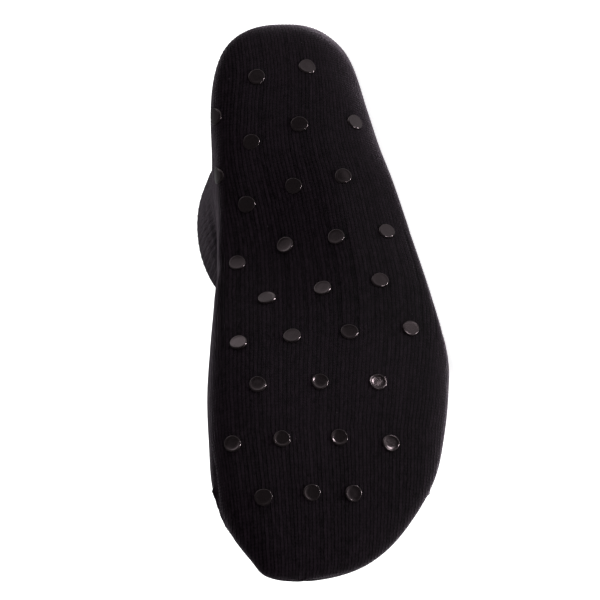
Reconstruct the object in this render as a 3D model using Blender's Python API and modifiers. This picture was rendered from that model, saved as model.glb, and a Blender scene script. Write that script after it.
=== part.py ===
"""Knitted grip sock in the form of a right foot, lying on its outer side.

The sock is one hollow knitted wall, lofted through cross sections from the toe tip, along the foot,
round the heel and up the leg to the collar. Soft plastic grip dots are printed on its sole.

Sections are set out in the foot's own frame: x runs from the back of the heel to the toes, y towards
the inner (big toe) side, and z from the sole up the leg. An empty then lays the sock on its outer
side: the inner side faces +Z, the sole faces -Y and the toes point to -X.
"""
import math
from collections import namedtuple

import bmesh
import bpy
import numpy as np
from mathutils import Matrix

MM = 0.001

# Driving sizes of the sock as worn, in metres
SOCK_LENGTH = 252 * MM
BALL_WIDTH = 100 * MM
INSTEP_HEIGHT = 70 * MM
WALL = 1.6 * MM
CUFF_STEP = 0.6 * MM
CUFF_LENGTH = 22 * MM
CUFF_RAMP = 2.5 * MM

# The floor, seen in the foot's frame: a plane along z that follows the outer edge of the sole
FLOOR_ANGLE = math.radians(11.3)
FLOOR_OFFSET = 24.0 * MM
FLOOR_BLEND = 3.5 * MM

# Grip dots: low pads with a rounded shoulder
DOT_DIAMETER = 7.4 * MM
DOT_HEIGHT = 1.0 * MM
DOT_CROWN = 0.15 * MM
DOT_SHOULDER = 0.4 * MM
DOT_GAP = 0.3 * MM

# How far past the sole's middle the arch still lifts it, as a share of the half width
ARCH_REACH = 0.3

# Mesh density, and the step in stations and turns over which slopes are measured
RINGS = 48
SIDES = 44
DOT_SIDES = 12
DOT_SHOULDER_STEPS = 2
OUTLINE_STEPS = 720
SLOPE_STEP = 0.01

# One row for each cross section, from toe tip to collar. Along x the unit is SOCK_LENGTH, across y it
# is BALL_WIDTH and up z it is INSTEP_HEIGHT. A section runs from its sole point to its top point;
# medial and lateral are the edges of its widest place, and widest is where that lies between the two
# points. The powers shape the inner and outer side of its lower half and its upper half (2 is an ellipse,
# more is squarer). Arch lifts the inner side of the sole, and keel and ridge move the sole point and the
# top towards the inner side.
Section = namedtuple(
    "Section",
    "name sole_x sole_z top_x top_z medial lateral widest inner_power outer_power top_power arch keel ridge",
)
SECTIONS = (
    Section("toe_tip", 1.006, 0.330, 1.006, 0.330, 0.140, -0.140, 0.50, 2.2, 2.2, 2.2, 0.00, 0.00, 0.00),
    Section("toe_nose", 0.996, 0.225, 0.996, 0.420, 0.285, 0.070, 0.48, 2.2, 2.2, 2.2, 0.00, 0.00, 0.00),
    Section("toe_front", 0.967, 0.164, 0.967, 0.470, 0.346, 0.214, 0.46, 2.3, 2.3, 2.2, 0.00, 0.00, 0.02),
    Section("toes", 0.917, 0.100, 0.917, 0.500, 0.425, 0.338, 0.44, 2.5, 2.5, 2.2, 0.00, 0.00, 0.05),
    Section("toe_root", 0.849, 0.043, 0.845, 0.540, 0.480, 0.452, 0.42, 2.7, 2.7, 2.2, 0.00, 0.00, 0.08),
    Section("ball_front", 0.770, 0.011, 0.762, 0.604, 0.482, 0.514, 0.40, 2.9, 2.6, 2.1, 0.00, 0.00, 0.10),
    Section("ball", 0.683, 0.000, 0.675, 0.693, 0.468, 0.552, 0.38, 2.9, 2.5, 2.0, 0.00, 0.00, 0.10),
    Section("ball_rear", 0.595, 0.007, 0.591, 0.814, 0.435, 0.580, 0.36, 2.9, 2.45, 1.9, 0.04, 0.00, 0.09),
    Section("waist", 0.504, 0.021, 0.516, 0.964, 0.397, 0.568, 0.36, 2.9, 2.4, 1.9, 0.12, 0.00, 0.08),
    Section("arch", 0.409, 0.036, 0.464, 1.086, 0.364, 0.531, 0.36, 3.0, 2.4, 1.85, 0.16, 0.01, 0.06),
    Section("short_heel", 0.310, 0.029, 0.434, 1.171, 0.348, 0.487, 0.36, 3.3, 2.4, 1.85, 0.11, 0.02, 0.04),
    Section("heel_front", 0.214, 0.014, 0.416, 1.236, 0.341, 0.418, 0.37, 3.6, 2.5, 1.9, 0.04, 0.06, 0.02),
    Section("heel_seat", 0.123, 0.007, 0.405, 1.286, 0.339, 0.383, 0.40, 3.6, 2.7, 1.9, 0.00, 0.085, 0.01),
    Section("heel_low", 0.048, 0.071, 0.398, 1.321, 0.313, 0.372, 0.43, 3.4, 2.8, 1.9, 0.00, 0.07, 0.00),
    Section("heel_back", 0.006, 0.286, 0.393, 1.350, 0.270, 0.360, 0.46, 2.6, 2.6, 1.9, 0.00, 0.042, 0.00),
    Section("heel_top", 0.006, 0.557, 0.389, 1.379, 0.247, 0.366, 0.47, 2.3, 2.3, 1.95, 0.00, 0.025, 0.00),
    Section("ankle", 0.030, 0.850, 0.386, 1.407, 0.260, 0.382, 0.48, 2.1, 2.1, 2.0, 0.00, 0.02, 0.00),
    Section("leg_low", 0.050, 1.150, 0.384, 1.443, 0.280, 0.387, 0.49, 2.0, 2.0, 2.0, 0.00, 0.01, 0.00),
    Section("leg", 0.052, 1.450, 0.384, 1.507, 0.292, 0.390, 0.50, 2.05, 2.05, 2.05, 0.00, 0.00, 0.00),
    Section("collar", 0.048, 1.786, 0.386, 1.793, 0.300, 0.392, 0.50, 2.1, 2.1, 2.1, 0.00, 0.00, 0.00),
)
SIZE_OF_COLUMN = {
    "sole_x": SOCK_LENGTH,
    "top_x": SOCK_LENGTH,
    "sole_z": INSTEP_HEIGHT,
    "top_z": INSTEP_HEIGHT,
    "medial": BALL_WIDTH,
    "lateral": BALL_WIDTH,
    "arch": BALL_WIDTH,
    "keel": BALL_WIDTH,
    "ridge": BALL_WIDTH,
}

# Rows of grip dots from heel to toe, each from the outer to the inner side, in millimetres: how far each
# dot lies from the back of the heel, and how far along the girth from the sole's middle to the inner side.
# Long is the length of a row's dots as a share of their width, as the worn knit is stretched across.
DotRow = namedtuple("DotRow", "name long along aside")
DOT_ROWS = (
    DotRow("heel_end", 0.95, (30.0, 34.5, 41.5), (-12.0, 10.5, 34.0)),
    DotRow("heel", 0.90, (51.5, 56.5, 59.5, 63.5), (-28.5, -1.5, 20.5, 41.5)),
    DotRow("heel_front", 0.93, (81.0, 80.5, 82.5), (-11.5, 10.0, 31.5)),
    DotRow("arch_rear", 0.93, (105.5, 108.0, 105.0, 109.5), (-26.5, -4.0, 18.5, 40.0)),
    DotRow("arch", 0.86, (129.5, 131.0, 131.5), (-19.5, 5.0, 29.0)),
    DotRow("arch_front", 0.92, (151.5, 153.0, 153.0, 153.5), (-32.0, -5.5, 18.5, 41.0)),
    DotRow("ball", 0.95, (176.0, 175.0, 174.5), (-18.5, 6.0, 32.0)),
    DotRow("ball_front", 1.00, (202.5, 199.5, 199.0, 199.0), (-25.0, -3.0, 21.0, 41.5)),
    DotRow("toe", 1.00, (223.0, 222.0, 222.5), (-11.0, 6.5, 26.5)),
)

# Colours are linear RGB
Finish = namedtuple("Finish", "name colour roughness")
KNIT = Finish("black_knit", (0.0070, 0.0055, 0.0070, 1.0), 0.95)
GRIP = Finish("black_grip_plastic", (0.0120, 0.0105, 0.0110, 1.0), 0.32)


def clear_scene():
    for old in list(bpy.data.objects):
        bpy.data.objects.remove(old, do_unlink=True)


def make_collection(name):
    collection = bpy.data.collections.new(name)
    bpy.context.scene.collection.children.link(collection)
    return collection


def make_material(finish):
    material = bpy.data.materials.new(finish.name)
    material.use_nodes = True
    shader = material.node_tree.nodes["Principled BSDF"]
    shader.inputs["Base Color"].default_value = finish.colour
    shader.inputs["Roughness"].default_value = finish.roughness
    shader.inputs["Metallic"].default_value = 0.0
    return material


def ease(value):
    share = np.clip(value, 0.0, 1.0)
    return share * share * (3 - 2 * share)


def section_columns():
    """Real sizes of each column, with the row beyond the tip mirrored so that the toe closes round."""
    columns = {}
    for field in Section._fields[1:]:
        shares = np.array([getattr(row, field) for row in SECTIONS])
        columns[field] = shares * SIZE_OF_COLUMN.get(field, 1.0)
    mirrored = {"medial": "lateral", "lateral": "medial", "sole_z": "top_z", "top_z": "sole_z"}
    beyond = {}
    for field in columns:
        opposite = columns[mirrored.get(field, field)][1]
        beyond[field] = -opposite if field in ("medial", "lateral") else opposite
    return columns, beyond


COLUMNS, BEYOND_TIP = section_columns()


def row_number(name):
    return [row.name for row in SECTIONS].index(name)


def cuff_share(sizes):
    """How far a section is into the cuff: 0 below it, 1 on its thicker wall."""
    collar_height = SECTIONS[-1].top_z * INSTEP_HEIGHT
    below_collar = collar_height - (sizes["sole_z"] + sizes["top_z"]) / 2
    return float(ease((CUFF_LENGTH - below_collar) / CUFF_RAMP))


def section_at(station):
    """One section's sizes at a station counted in table rows, smooth between the rows."""
    last = len(SECTIONS) - 1
    row = min(int(station), last - 1)
    share = station - row
    sizes = {}
    for field, values in COLUMNS.items():
        before = values[row - 1] if row > 0 else BEYOND_TIP[field]
        start, end = values[row], values[row + 1]
        after = values[row + 2] if row + 2 <= last else 2 * end - start
        slope_start = (end - before) / 2
        slope_end = (after - start) / 2
        sizes[field] = (
            (2 * share**3 - 3 * share**2 + 1) * start
            + (share**3 - 2 * share**2 + share) * slope_start
            + (3 * share**2 - 2 * share**3) * end
            + (share**3 - share**2) * slope_end
        )
    proud = CUFF_STEP * cuff_share(sizes)
    sizes["medial"] += proud
    sizes["lateral"] += proud
    sizes["sole_x"] -= proud
    sizes["top_x"] += proud
    return sizes


def section_outline(sizes):
    """Closed outline in a section's plane: y across and the way from its sole point to its top."""
    angle = np.linspace(0.0, 2 * math.pi, OUTLINE_STEPS + 1)
    across, upward = np.sin(angle), -np.cos(angle)
    below = upward < 0
    sole_power = np.where(across > 0, sizes["inner_power"], sizes["outer_power"])
    power = 2 / np.where(below, sole_power, sizes["top_power"])
    wide = np.sign(across) * np.abs(across) ** power
    high = np.sign(upward) * np.abs(upward) ** power

    tall = math.hypot(sizes["top_x"] - sizes["sole_x"], sizes["top_z"] - sizes["sole_z"])
    reach = np.where(below, sizes["widest"], 1 - sizes["widest"])
    height = tall * (sizes["widest"] + reach * high)
    half_width = (sizes["medial"] + sizes["lateral"]) / 2
    middle = (sizes["medial"] - sizes["lateral"]) / 2
    height += sizes["arch"] * ease(wide + ARCH_REACH) * np.clip(-high, 0.0, 1.0)
    y = middle + half_width * wide
    y += sizes["ridge"] * np.clip(high, 0.0, 1.0) ** 2
    y += sizes["keel"] * np.clip(-high, 0.0, 1.0) ** 2
    return y, height, tall


def rest_on_floor(points):
    """Flattens what would sink below the floor, with a soft edge round each flat spot."""
    normal = np.array((math.sin(FLOOR_ANGLE), math.cos(FLOOR_ANGLE), 0.0))
    clearance = points @ normal + FLOOR_OFFSET
    eased = np.clip(clearance + FLOOR_BLEND, 0.0, None) ** 2 / (4 * FLOOR_BLEND)
    lifted = np.where(clearance < FLOOR_BLEND, eased, clearance)
    return points + (lifted - clearance)[:, None] * normal


def sock_points(station, turns):
    """Points of the sock's outer face. Turns count the girth from the sole's middle, inner side first."""
    sizes = section_at(station)
    y, height, tall = section_outline(sizes)
    girth = np.concatenate(([0.0], np.cumsum(np.hypot(np.diff(y), np.diff(height)))))
    place = np.mod(turns, 1.0) * girth[-1]
    rise = np.interp(place, girth, height / tall) if tall > 0 else np.zeros(len(turns))
    points = np.column_stack((
        sizes["sole_x"] + (sizes["top_x"] - sizes["sole_x"]) * rise,
        np.interp(place, girth, y),
        sizes["sole_z"] + (sizes["top_z"] - sizes["sole_z"]) * rise,
    ))
    return rest_on_floor(points)


def tangents(station, turn):
    """Change of the outer face per unit of station and of turn, and the normal pointing out."""
    behind, ahead = (sock_points(station + step, [turn])[0] for step in (-SLOPE_STEP, SLOPE_STEP))
    before, after = sock_points(station, np.array((turn - SLOPE_STEP, turn + SLOPE_STEP)))
    along = (ahead - behind) / (2 * SLOPE_STEP)
    around = (after - before) / (2 * SLOPE_STEP)
    normal = np.cross(along, around)
    return along, around, normal / np.linalg.norm(normal)


def cuff_edge_stations():
    """Stations where the wall starts to thicken towards the cuff, and where it is thickest."""
    stations = np.linspace(row_number("leg_low"), row_number("collar"), OUTLINE_STEPS)
    shares = np.array([cuff_share(section_at(station)) for station in stations])
    return stations[np.argmax(shares > 0)], stations[np.argmax(shares >= 1)]


def build_sock(collection, material):
    stations = np.linspace(0.0, len(SECTIONS) - 1, RINGS + 1)[1:]
    stations = np.unique(np.concatenate((stations, cuff_edge_stations())))
    turns = np.arange(SIDES) / SIDES
    bm = bmesh.new()
    tip = bm.verts.new(sock_points(0.0, [0.0])[0])
    rings = []
    for station in stations:
        rings.append([bm.verts.new(point) for point in sock_points(station, turns)])
    for side in range(SIDES):
        beside = (side + 1) % SIDES
        bm.faces.new((tip, rings[0][beside], rings[0][side]))
        for near, far in zip(rings, rings[1:]):
            bm.faces.new((near[side], near[beside], far[beside], far[side]))
    bmesh.ops.recalc_face_normals(bm, faces=bm.faces)
    mesh = bpy.data.meshes.new("knit_sock")
    bm.to_mesh(mesh)
    bm.free()
    mesh.shade_smooth()
    mesh.materials.append(material)
    sock = bpy.data.objects.new("knit_sock", mesh)
    collection.objects.link(sock)

    cuff = sock.vertex_groups.new(name="cuff")
    for number, station in enumerate(stations):
        first = 1 + number * SIDES
        cuff.add(range(first, first + SIDES), cuff_share(section_at(station)), "REPLACE")
    wall = sock.modifiers.new("wall", "SOLIDIFY")
    wall.thickness = WALL + CUFF_STEP
    wall.vertex_group = cuff.name
    wall.thickness_vertex_group = WALL / (WALL + CUFF_STEP)
    wall.offset = -1.0
    wall.use_even_offset = True
    return sock


def station_along(distance):
    """Station whose sole point lies at a distance from the back of the heel."""
    stations = np.linspace(row_number("toe_tip"), row_number("heel_low"), OUTLINE_STEPS)
    places = np.array([section_at(station)["sole_x"] for station in stations])
    return float(np.interp(distance, places[::-1], stations[::-1]))


def girth_at(station):
    y, height, _ = section_outline(section_at(station))
    return float(np.sum(np.hypot(np.diff(y), np.diff(height))))


def dot_places():
    """Name, station, turn and share of length of each grip dot."""
    places = []
    for row in DOT_ROWS:
        for number, (along, aside) in enumerate(zip(row.along, row.aside), start=1):
            station = station_along(along * MM)
            turn = aside * MM / girth_at(station)
            places.append((f"grip_dot_{row.name}_{number}", station, turn, row.long))
    return places


def build_dot(collection, material, name, station, turn, long):
    """A low pad that follows the knit under it, DOT_GAP off its face."""
    along, around, normal = tangents(station, turn)
    across = around / np.linalg.norm(around)
    forward = np.cross(across, normal)
    station_step = 1 / (along @ forward)
    turn_step = 1 / np.linalg.norm(around)

    bm = bmesh.new()
    radius = DOT_DIAMETER / 2
    bmesh.ops.create_cone(
        bm, cap_ends=True, cap_tris=True, segments=DOT_SIDES, radius1=radius, radius2=radius, depth=DOT_HEIGHT
    )
    rim = [edge for edge in bm.edges if all(v.co.z > 0 and v.co.xy.length > radius / 2 for v in edge.verts)]
    bmesh.ops.bevel(bm, geom=rim, offset=DOT_SHOULDER, segments=DOT_SHOULDER_STEPS, affect="EDGES")
    for vert in bm.verts:
        ahead, aside, rise = vert.co
        crown = DOT_CROWN * (1 - (ahead**2 + aside**2) / radius**2) if rise > 0 else 0.0
        ahead *= long
        there = station + ahead * station_step
        girth_share = turn + (aside - (along @ across) * ahead * station_step) * turn_step
        seat = sock_points(there, [girth_share])[0]
        vert.co = seat + normal * (DOT_GAP + DOT_HEIGHT / 2 + rise + crown)
    mesh = bpy.data.meshes.new(name)
    bm.to_mesh(mesh)
    bm.free()
    mesh.shade_smooth()
    mesh.materials.append(material)
    dot = bpy.data.objects.new(name, mesh)
    collection.objects.link(dot)
    return dot


def lay_down(collection, pieces):
    """Lays the pieces on the outer side of the sock, with the origin under the middle of their box."""
    sine, cosine = math.sin(FLOOR_ANGLE), math.cos(FLOOR_ANGLE)
    turned = Matrix(((-cosine, sine, 0.0), (0.0, 0.0, 1.0), (sine, cosine, 0.0)))
    corners = np.array([turned @ vert.co for piece in pieces for vert in piece.data.vertices])
    middle = (corners.min(axis=0) + corners.max(axis=0)) / 2
    pose = bpy.data.objects.new("lying_pose", None)
    collection.objects.link(pose)
    pose.matrix_world = Matrix.Translation((-middle[0], -middle[1], FLOOR_OFFSET)) @ turned.to_4x4()
    for piece in pieces:
        piece.parent = pose


def main():
    clear_scene()
    collection = make_collection("grip_sock")
    knit = make_material(KNIT)
    grip = make_material(GRIP)
    pieces = [build_sock(collection, knit)]
    for place in dot_places():
        pieces.append(build_dot(collection, grip, *place))
    lay_down(collection, pieces)


main()
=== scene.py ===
"""Looks of the knitted grip sock: ribbed knit, seams, nap, lint and printed dots, on a pale floor.

The sock is rebuilt from the part's own cross sections at the pitch of its knit. Everything is set out
in the foot's frame (x from heel to toes, y to the inner side, z up the leg) and then laid on the floor
as the part is.
"""
import math
from collections import namedtuple

import bpy
import numpy as np
from mathutils import Matrix, Vector


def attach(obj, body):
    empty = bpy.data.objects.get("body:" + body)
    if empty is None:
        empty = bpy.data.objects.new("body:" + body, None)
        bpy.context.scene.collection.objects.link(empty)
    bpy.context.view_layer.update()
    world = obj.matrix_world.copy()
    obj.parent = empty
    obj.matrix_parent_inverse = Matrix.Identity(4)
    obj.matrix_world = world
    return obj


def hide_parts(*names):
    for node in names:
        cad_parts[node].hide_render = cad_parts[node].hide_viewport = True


MM = 0.001
SEED = 20744

# Driving sizes of the sock, in metres, as in the part
SOCK_LENGTH = 252 * MM
BALL_WIDTH = 100 * MM
INSTEP_HEIGHT = 70 * MM
WALL = 1.6 * MM
CUFF_STEP = 0.6 * MM
CUFF_LENGTH = 22 * MM
CUFF_RAMP = 2.5 * MM
FLOOR_ANGLE = math.radians(11.3)
FLOOR_BLEND = 3.5 * MM
ARCH_REACH = 0.3
# Where the foot's origin lies in the part's frame; its height is the floor's offset
LIES_AT = (123.778 * MM, -62.013 * MM, 24.0 * MM)

# Knit: columns (wales) round the girth, rows (courses) along it, and heights of the relief
WALES = 144
COURSE = 1.25 * MM
WALE_RELIEF = 0.07 * MM
ARCH_RIB_WALES = 4
ARCH_RIB_GAP_AT = 2.5
ARCH_RIB_RELIEF = 0.16 * MM
ARCH_BAND = (100 * MM, 156 * MM)
BAND_EDGE = 5 * MM
LEG_RIB_WALES = 2
LEG_RIB_RELIEF = 0.15 * MM
LEG_RIB_FROM = 88 * MM
# Share of the painted shade that the leg's rib gaps get, against the arch's
LEG_GAP_SHADE = 0.35
# Under the heel the wales lie closer, and there their middle line leaves the middle of the sole
HEEL_PITCH = 1.45 * MM
HEEL_PITCH_STATIONS = (8.0, 12.0, 13.5, 16.0)
HEEL_PITCH_DRAWN = (0.0, 1.0, 1.0, 0.0)
HEEL_MIDDLE = -3.8 * MM
SOLE_SHARE = 0.12
FLANK_SHARE = 0.26
# In the toe pocket the wales draw together by this share up to the tip, and their relief fades before it
TOE_TAPER = 0.12
TOE_BLEND = 0.6
# Slow waves of slack knit, along the foot and up the leg: height, length for a radian, count round the girth
SLACK_HEIGHT = (0.12 * MM, 0.10 * MM)
SLACK_LENGTH = (11 * MM, 9 * MM)
SLACK_ROUND = (2, 3)
SLACK_SWING = 3.0
SLACK_START = 1.3

# Toe closing seam, from the inner side over the toes to the outer side: share of the length, and turn
TOE_SEAM = (
    (0.855, 0.235), (0.900, 0.262), (0.925, 0.300), (0.930, 0.400),
    (0.930, 0.500), (0.925, 0.600), (0.900, 0.700), (0.870, 0.745),
)
SEAM_HEIGHT = 0.7 * MM
SEAM_WIDTH = 1.1 * MM
SEAM_UNEVEN = 0.25
SEAM_WAVES = (190.0, 77.0)
SEAM_WAVE_START = 1.0
SEAM_EAR = 0.9 * MM
SEAM_EAR_REACH = 0.03
SEAM_STEPS = 160
# The mesh is denser between these stations, for the seam
SEAM_STATIONS = (2.4, 4.3)
SEAM_DENSITY = 2.2

# Heel gore: the line where foot and leg meet in the heel, as (x, z) of its two ends
GORE_HEEL = (4 * MM, 18 * MM)
GORE_ANKLE = (100 * MM, 88 * MM)
GORE_RELIEF = 0.25 * MM
GORE_FROM_WALE = 10
GORE_FADE_WALES = 8
# Distance in millimetres at which the gore's groove, a bump with painted shade, no longer shows
GORE_FAR = 3.0

# The collar's edge rounds over through these angles, from the outer to the inner face
LIP_ANGLES = (35.0, 90.0, 145.0)
LIP_RISE = 0.5 * MM

# Mesh density, and the stations at which the outer face and the lining start
SIDES_PER_WALE = 4
SIDES = WALES * SIDES_PER_WALE
RINGS = 150
OUTLINE_STEPS = 720
LENGTH_LINES = 8
LINING_SIDES = 72
LINING_RINGS = 44
SKIN_FROM = 0.03
LINING_FROM = 0.5

# The part's cross sections from toe tip to collar. A station counts these rows and the places between them
Section = namedtuple(
    "Section",
    "name sole_x sole_z top_x top_z medial lateral widest inner_power outer_power top_power arch keel ridge",
)
SECTIONS = (
    Section("toe_tip", 1.006, 0.330, 1.006, 0.330, 0.140, -0.140, 0.50, 2.2, 2.2, 2.2, 0.00, 0.00, 0.00),
    Section("toe_nose", 0.996, 0.225, 0.996, 0.420, 0.285, 0.070, 0.48, 2.2, 2.2, 2.2, 0.00, 0.00, 0.00),
    Section("toe_front", 0.967, 0.164, 0.967, 0.470, 0.346, 0.214, 0.46, 2.3, 2.3, 2.2, 0.00, 0.00, 0.02),
    Section("toes", 0.917, 0.100, 0.917, 0.500, 0.425, 0.338, 0.44, 2.5, 2.5, 2.2, 0.00, 0.00, 0.05),
    Section("toe_root", 0.849, 0.043, 0.845, 0.540, 0.480, 0.452, 0.42, 2.7, 2.7, 2.2, 0.00, 0.00, 0.08),
    Section("ball_front", 0.770, 0.011, 0.762, 0.604, 0.482, 0.514, 0.40, 2.9, 2.6, 2.1, 0.00, 0.00, 0.10),
    Section("ball", 0.683, 0.000, 0.675, 0.693, 0.468, 0.552, 0.38, 2.9, 2.5, 2.0, 0.00, 0.00, 0.10),
    Section("ball_rear", 0.595, 0.007, 0.591, 0.814, 0.435, 0.580, 0.36, 2.9, 2.45, 1.9, 0.04, 0.00, 0.09),
    Section("waist", 0.504, 0.021, 0.516, 0.964, 0.397, 0.568, 0.36, 2.9, 2.4, 1.9, 0.12, 0.00, 0.08),
    Section("arch", 0.409, 0.036, 0.464, 1.086, 0.364, 0.531, 0.36, 3.0, 2.4, 1.85, 0.16, 0.01, 0.06),
    Section("short_heel", 0.310, 0.029, 0.434, 1.171, 0.348, 0.487, 0.36, 3.3, 2.4, 1.85, 0.11, 0.02, 0.04),
    Section("heel_front", 0.214, 0.014, 0.416, 1.236, 0.341, 0.418, 0.37, 3.6, 2.5, 1.9, 0.04, 0.06, 0.02),
    Section("heel_seat", 0.123, 0.007, 0.405, 1.286, 0.339, 0.383, 0.40, 3.6, 2.7, 1.9, 0.00, 0.085, 0.01),
    Section("heel_low", 0.048, 0.071, 0.398, 1.321, 0.313, 0.372, 0.43, 3.4, 2.8, 1.9, 0.00, 0.07, 0.00),
    Section("heel_back", 0.006, 0.286, 0.393, 1.350, 0.270, 0.360, 0.46, 2.6, 2.6, 1.9, 0.00, 0.042, 0.00),
    Section("heel_top", 0.006, 0.557, 0.389, 1.379, 0.247, 0.366, 0.47, 2.3, 2.3, 1.95, 0.00, 0.025, 0.00),
    Section("ankle", 0.030, 0.850, 0.386, 1.407, 0.260, 0.382, 0.48, 2.1, 2.1, 2.0, 0.00, 0.02, 0.00),
    Section("leg_low", 0.050, 1.150, 0.384, 1.443, 0.280, 0.387, 0.49, 2.0, 2.0, 2.0, 0.00, 0.01, 0.00),
    Section("leg", 0.052, 1.450, 0.384, 1.507, 0.292, 0.390, 0.50, 2.05, 2.05, 2.05, 0.00, 0.00, 0.00),
    Section("collar", 0.048, 1.786, 0.386, 1.793, 0.300, 0.392, 0.50, 2.1, 2.1, 2.1, 0.00, 0.00, 0.00),
)
SIZE_OF_COLUMN = {
    "sole_x": SOCK_LENGTH,
    "top_x": SOCK_LENGTH,
    "sole_z": INSTEP_HEIGHT,
    "top_z": INSTEP_HEIGHT,
    "medial": BALL_WIDTH,
    "lateral": BALL_WIDTH,
    "arch": BALL_WIDTH,
    "keel": BALL_WIDTH,
    "ridge": BALL_WIDTH,
}
ROW_OF = {row.name: number for number, row in enumerate(SECTIONS)}
TOE_KNIT_FROM = ROW_OF["ball_front"]

# Rows of grip dots from heel to toe, each from the outer to the inner side: how long its dots are for their
# width, and in millimetres how far each lies from the back of the heel and along the girth
DotRow = namedtuple("DotRow", "name long along aside")
DOT_ROWS = (
    DotRow("heel_end", 0.95, (30.0, 34.5, 41.5), (-12.0, 10.5, 34.0)),
    DotRow("heel", 0.90, (51.5, 56.5, 59.5, 63.5), (-28.5, -1.5, 20.5, 41.5)),
    DotRow("heel_front", 0.93, (81.0, 80.5, 82.5), (-11.5, 10.0, 31.5)),
    DotRow("arch_rear", 0.93, (105.5, 108.0, 105.0, 109.5), (-26.5, -4.0, 18.5, 40.0)),
    DotRow("arch", 0.86, (129.5, 131.0, 131.5), (-19.5, 5.0, 29.0)),
    DotRow("arch_front", 0.92, (151.5, 153.0, 153.0, 153.5), (-32.0, -5.5, 18.5, 41.0)),
    DotRow("ball", 0.95, (176.0, 175.0, 174.5), (-18.5, 6.0, 32.0)),
    DotRow("ball_front", 1.00, (202.5, 199.5, 199.0, 199.0), (-25.0, -3.0, 21.0, 41.5)),
    DotRow("toe", 1.00, (223.0, 222.0, 222.5), (-11.0, 6.5, 26.5)),
)
DOT_DIAMETER = 7.4 * MM
DOT_HEIGHT = 1.0 * MM
# Profile of a dot from its sunk foot over its rim to its dished middle: shares of radius and height
DOT_PROFILE = (
    (1.00, -0.25), (1.00, 0.00), (0.985, 0.35), (0.96, 0.62), (0.925, 0.85), (0.89, 0.97), (0.85, 1.00),
    (0.80, 0.96), (0.74, 0.87), (0.67, 0.78), (0.58, 0.72), (0.42, 0.69), (0.20, 0.68),
)
DOT_RIM_SHARE = 0.85
# Dots of the front rows are dished to the full, the others to this share
FRONT_ROWS = ("ball", "ball_front", "toe")
FLATTER_DISH = 0.3
DOT_SIDES = 48
SLOPE_STEP = 0.01
# Random spread of a dot's edge, slope and size
DOT_UNEVEN = 0.012
DOT_LEAN = 0.02
DOT_SIZE_SPREAD = 0.012

# Soft folds, each from one (station, turn) to another, as troughs with a low ridge on both sides
Crease = namedtuple("Crease", "name start end width depth")
CREASES = (
    Crease("instep_low", (10.2, 0.40), (10.6, 0.62), 4.0 * MM, 0.9 * MM),
    Crease("instep_mid", (12.6, 0.37), (12.2, 0.64), 4.5 * MM, 1.3 * MM),
    Crease("instep_high", (15.4, 0.42), (15.0, 0.60), 4.0 * MM, 0.9 * MM),
    Crease("inner_ankle", (13.4, 0.22), (12.4, 0.36), 5.0 * MM, 0.8 * MM),
    Crease("outer_ankle", (13.2, 0.80), (12.2, 0.66), 5.0 * MM, 0.7 * MM),
    Crease("tendon_inner", (15.8, 0.10), (17.2, 0.13), 5.0 * MM, 0.6 * MM),
    Crease("tendon_outer", (15.8, 0.90), (17.2, 0.87), 5.0 * MM, 0.6 * MM),
    Crease("leg_slack", (17.3, 0.20), (17.0, 0.44), 5.0 * MM, 0.6 * MM),
    Crease("arch_inner", (9.2, 0.15), (8.2, 0.27), 6.0 * MM, 0.5 * MM),
)
CREASE_STEPS = 40
CREASE_RIDGE = 1.2
CREASE_FADE = 0.8

# Photo's view, in the foot's frame: the camera leans to the toes and to the inner side
VIEW_TO_TOES = math.radians(22.0)
VIEW_TO_INNER = math.radians(8.5)
VIEW_ROLL = math.radians(5.5)
VIEW_DISTANCE = 2.0
VIEW_WIDTH = 252 * MM
VIEW_AIM = (134 * MM, 5.6 * MM, 10 * MM)
SENSOR = 36.0
VIEW_CLIP = (0.1, 60.0)

# Room that the dots mirror, dark behind the camera. It brightens towards the heel and towards the floor,
# from the first angle to the second, in degrees from straight before the sole
ROOM_RADIUS = 3.0
ROOM_DARK = 0.12
ROOM_LIGHT = 1.25
ROOM_TO_HEEL = (15.0, 60.0)
ROOM_TO_FLOOR = (8.0, 40.0)
ROOM_AROUND = range(-75, 81, 5)
ROOM_UPWARD = range(-75, 61, 5)
# Bright cards in that room, both below the floor's level: one for glints on the dots' edges, one for the
# soft crescents in the dished dots
Card = namedtuple("Card", "name place size glow")
CARDS = (
    Card("edge_card", (-0.38, -0.66, -1.41), 0.30, 200.0),
    Card("front_card", (-0.033, -0.157, -0.032), 0.032, 60.0),
)
CARDS_FACE = (0.0, -0.06, 0.05)

# Soft lamps. The two of the outer side shine up through the floor, which casts no shadow
Light = namedtuple("Light", "name place size power mirrored")
LIGHTS = (
    Light("overhead", (0.1, 1.3, 1.3), 1.6, 5.0, False),
    Light("back_side", (0.6, 1.5, 0.9), 0.9, 12.0, False),
    Light("toe_side", (-1.0, -0.45, 0.95), 0.5, 5.0, False),
    Light("heel_side", (1.3, -0.5, 0.7), 0.9, 4.0, True),
    Light("outer_side", (0.7, 1.0, -1.1), 0.4, 120.0, False),
    Light("outer_fill", (0.15, 0.45, -1.4), 0.6, 40.0, False),
)
LIGHTS_FACE = (0.02, -0.01, 0.04)
WORLD_GLOW = 0.30
FLOOR_GLOW = 0.90
FLOOR_HALF = 8.0

# Noise of the materials, in places to the metre; streaks count in wales and courses
Grain = namedtuple("Grain", "scale detail roughness")
SWAY = Grain(190.0, 1.0, 0.5)
STREAKS = Grain(1.0, 3.0, 0.6)
FUZZ = Grain(1500.0, 3.0, 0.6)
HEATHER = Grain(700.0, 2.0, 0.5)
CLOUDS = Grain(28.0, 3.0, 0.6)
TERRY = Grain(620.0, 2.0, 0.5)
WAVY = Grain(260.0, 1.0, 0.4)
DUST = Grain(900.0, 3.0, 0.6)
FLOOR_GRAIN = Grain(60.0, 3.0, 0.6)
LINT_SCALE = 120.0
LINT_REACH = 0.05

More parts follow.
